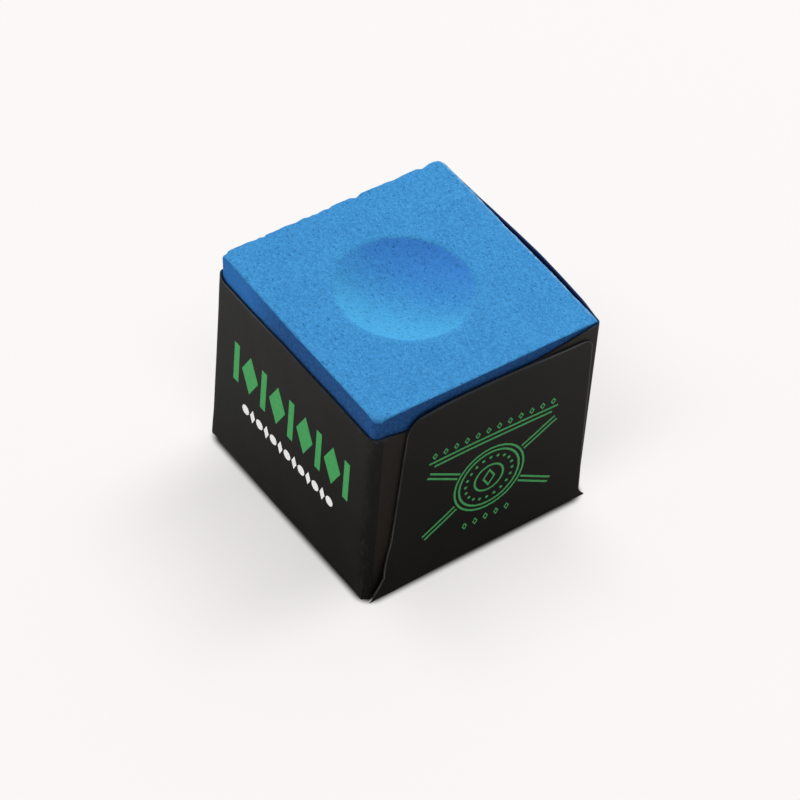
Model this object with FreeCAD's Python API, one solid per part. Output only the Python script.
import FreeCAD, Part
import os

# Cue chalk cube, in millimetres.
#
# The origin is the middle of the resting face. +Z is up, out of the dimpled end of the block.
# The two main printed panels of the label face -Y and +Y, and its two cover flaps face -X and +X.
#
# The block is pressed chalk. The label is one cross-shaped sheet: a base panel, a front and a back
# panel whose glue tabs turn round the upright edges of the block, and two flaps that fold up last,
# over the tabs. The sheet is divided at its creases, so that each panel, tab and flap is a solid of
# its own, and a film of glue lies under each of them.

# Block
BLOCK_WIDTH = 21.6
BLOCK_HEIGHT = 19.9
BLOCK_EDGE_RADIUS = 0.8  # the four upright edges
BLOCK_TOP_RADIUS = 0.3
DIMPLE_RADIUS = 5.8  # at the top face
DIMPLE_DEPTH = 1.7
DIMPLE_X = -0.2  # it isn't quite in the middle of the top face
DIMPLE_Y = -0.3

# Label
PAPER = 0.15
GLUE = 0.05
FRONT_HEIGHT = 18.0
BACK_HEIGHT = 20.0
RIGHT_FLAP_HEIGHT = 18.85
LEFT_FLAP_HEIGHT = 19.1
TAB_REACH = 7.0  # from the end of the bend round an upright edge
TAB_FOOT = 0.4  # height of a tab's lower end at the bend
TAB_FOOT_RISE = 1.1  # how much higher the lower end is at the tab's tip
FRONT_TAB_DROP = 1.1  # how much lower the upper end is at the tab's tip
BACK_TAB_DROP = 1.1
FLAP_SHIFT = 1.0  # the sheet was laid this far towards +Y
FLAP_HALF_WIDTH_LOW = 9.5
FLAP_HALF_WIDTH_HIGH = 8.9
FLAP_CORNER_RADIUS = 1.3
FLAP_CUT_HEIGHT = 1.5  # top of the slanting cut at each lower corner
FLAP_CREASE_HALF = 9.9  # half the length of the crease under a flap
FLAP_FOOT_HALF = 10.9  # half the width of a flap's foot, with the ears beyond the crease
FLAP_GLUE_INSET = 0.6

# Planes that follow from these, measured from the middle of the block
BLOCK_HALF = BLOCK_WIDTH / 2
TAB_INNER = BLOCK_HALF + GLUE
TAB_OUTER = TAB_INNER + PAPER
FLAP_INNER = TAB_OUTER + GLUE
FLAP_OUTER = FLAP_INNER + PAPER
BEND_END = BLOCK_HALF - BLOCK_EDGE_RADIUS
BLOCK_BOTTOM = PAPER + GLUE
BLOCK_TOP = BLOCK_BOTTOM + BLOCK_HEIGHT

SIDES = {"right": 1, "left": -1}


def rounded_prism(half, radius, bottom, top):
    """A square column with rounded upright edges."""
    column = Part.makeBox(2 * half, 2 * half, top - bottom, FreeCAD.Vector(-half, -half, bottom))
    upright = [edge for edge in column.Edges if abs(edge.tangentAt(0).z) > 0.5]
    return column.makeFillet(radius, upright)


def wrap(inner_half, thickness, bottom, top):
    """A closed sleeve of even thickness round the block, with the block's rounding carried outwards."""
    grown = inner_half - BLOCK_HALF
    inner_radius = BLOCK_EDGE_RADIUS + grown
    outer = rounded_prism(inner_half + thickness, inner_radius + thickness, bottom, top)
    inner = rounded_prism(inner_half, inner_radius, bottom - 1, top + 1)
    return outer.cut(inner)


def face_of_wrap(sleeve, side):
    """The part of a sleeve on the -Y (side -1) or +Y (side 1) face, bends included."""
    reach = 2 * FLAP_OUTER
    start = BEND_END if side > 0 else -BEND_END - reach
    keep = Part.makeBox(2 * reach, reach, 2 * BLOCK_TOP, FreeCAD.Vector(-reach, start, -1))
    return sleeve.common(keep).Solids[0]


def plate(outline, inner, thickness, side):
    """A flat piece on the +X (side 1) or -X (side -1) face. The outline is in (y, z)."""
    start = inner if side > 0 else -inner - thickness
    corners = [FreeCAD.Vector(start, y, z) for y, z in outline]
    wire = Part.makePolygon(corners + corners[:1])
    return Part.Face(wire).extrude(FreeCAD.Vector(thickness, 0, 0))


def tab_outline(fold_side, height, drop):
    """A tab's outline in (y, z), from the end of the bend at the -Y (-1) or +Y (1) edge."""
    root = fold_side * BEND_END
    tip = fold_side * (BEND_END - TAB_REACH)
    return [
        (root, TAB_FOOT),
        (tip, TAB_FOOT + TAB_FOOT_RISE),
        (tip, height - drop),
        (root, height),
    ]


def flap_outline(height, inset=0.0):
    """A flap's outline in (y, z) before its upper corners are rounded."""
    low = FLAP_HALF_WIDTH_LOW - inset
    high = FLAP_HALF_WIDTH_HIGH - inset
    foot = FLAP_FOOT_HALF - inset
    return [
        (-foot, inset),
        (foot, inset),
        (FLAP_SHIFT + low, FLAP_CUT_HEIGHT + inset),
        (FLAP_SHIFT + high, height - inset),
        (FLAP_SHIFT - high, height - inset),
        (FLAP_SHIFT - low, FLAP_CUT_HEIGHT + inset),
    ]


def round_upper_corners(flap, height, radius):
    """Rounds the two upper corners of a flap as seen from its side."""
    corners = [
        edge
        for edge in flap.Edges
        if abs(edge.tangentAt(0).x) > 0.9 and edge.CenterOfMass.z > height - radius
    ]
    return flap.makeFillet(radius, corners)


def make_block():
    """The pressed block, with its worn upper edges and the dimple for the cue tip."""
    block = rounded_prism(BLOCK_HALF, BLOCK_EDGE_RADIUS, BLOCK_BOTTOM, BLOCK_TOP)
    rim = [edge for edge in block.Edges if edge.BoundBox.ZMin > BLOCK_TOP - 0.001]
    block = block.makeFillet(BLOCK_TOP_RADIUS, rim)
    ball_radius = (DIMPLE_RADIUS**2 + DIMPLE_DEPTH**2) / (2 * DIMPLE_DEPTH)
    ball_centre = FreeCAD.Vector(DIMPLE_X, DIMPLE_Y, BLOCK_TOP - DIMPLE_DEPTH + ball_radius)
    return block.cut(Part.makeSphere(ball_radius, ball_centre)).Solids[0]


def make_base_panel():
    """The sheet under the block, out to the creases of the two flaps."""
    panel = rounded_prism(TAB_INNER, BLOCK_EDGE_RADIUS + GLUE, 0, PAPER)
    for side in SIDES.values():
        start = TAB_INNER if side > 0 else -FLAP_INNER
        corner = FreeCAD.Vector(start, -FLAP_CREASE_HALF, 0)
        strip = Part.makeBox(FLAP_INNER - TAB_INNER, 2 * FLAP_CREASE_HALF, PAPER, corner)
        panel = panel.fuse(strip)
    return panel.removeSplitter().Solids[0]


def make_main_panel(side, height):
    """The front (-1) or back (1) panel, with the two bends round the upright edges."""
    return face_of_wrap(wrap(TAB_INNER, PAPER, 0, height), side)


def make_main_glue(side, height):
    """The film between the block and the front or back panel."""
    return face_of_wrap(wrap(BLOCK_HALF, GLUE, BLOCK_BOTTOM, min(height, BLOCK_TOP)), side)


def make_flap(side, height):
    """A cover flap, folded up from the base panel over the tabs."""
    flap = plate(flap_outline(height), FLAP_INNER, PAPER, side)
    return round_upper_corners(flap, height, FLAP_CORNER_RADIUS)


def make_flap_glue(side, height, tabs):
    """The glue under a flap: a film over the tabs, thicker between them, where it reaches the block."""
    radius = FLAP_CORNER_RADIUS - FLAP_GLUE_INSET
    outline = flap_outline(height, FLAP_GLUE_INSET)
    glue = plate(outline, BLOCK_HALF, FLAP_INNER - BLOCK_HALF, side)
    glue = round_upper_corners(glue, height, radius)
    keep = Part.makeBox(
        4 * BLOCK_HALF, 2 * BEND_END, BLOCK_TOP, FreeCAD.Vector(-2 * BLOCK_HALF, -BEND_END, 0)
    )
    glue = glue.common(keep)
    for piece in tabs:
        glue = glue.cut(piece)
    return max(glue.Solids, key=lambda solid: solid.Volume)


def build():
    """All the pieces by name."""
    pieces = {"chalk_block": make_block()}
    pieces["label_base_panel"] = make_base_panel()
    pieces["base_glue_film"] = rounded_prism(BLOCK_HALF, BLOCK_EDGE_RADIUS, PAPER, BLOCK_BOTTOM)
    for name, side, height, drop in (
        ("front", -1, FRONT_HEIGHT, FRONT_TAB_DROP),
        ("back", 1, BACK_HEIGHT, BACK_TAB_DROP),
    ):
        pieces[f"label_{name}_panel"] = make_main_panel(side, height)
        pieces[f"{name}_glue_film"] = make_main_glue(side, height)
        for flank, flank_side in SIDES.items():
            outline = tab_outline(side, height, drop)
            pieces[f"label_{name}_{flank}_tab"] = plate(outline, TAB_INNER, PAPER, flank_side)
            pieces[f"{name}_{flank}_tab_glue"] = plate(outline, BLOCK_HALF, GLUE, flank_side)
    for flank, height in (("right", RIGHT_FLAP_HEIGHT), ("left", LEFT_FLAP_HEIGHT)):
        side = SIDES[flank]
        under = [pieces[name] for name in pieces if f"_{flank}_tab" in name]
        pieces[f"label_{flank}_flap"] = make_flap(side, height)
        pieces[f"{flank}_flap_glue"] = make_flap_glue(side, height, under)
    return pieces


os.makedirs("parts", exist_ok=True)
for node, solid in build().items():
    shape = solid if solid.ShapeType == "Solid" else solid.Solids[0]
    if not shape.isValid() or shape.Volume <= 0:
        raise RuntimeError(f"{node} isn't a valid closed solid")
    shape.exportStep(f"parts/{node}.step")
    size = shape.BoundBox
    print(f"{node}: {shape.Volume:.2f} mm3, {size.XLength:.2f} x {size.YLength:.2f} x {size.ZLength:.2f}")
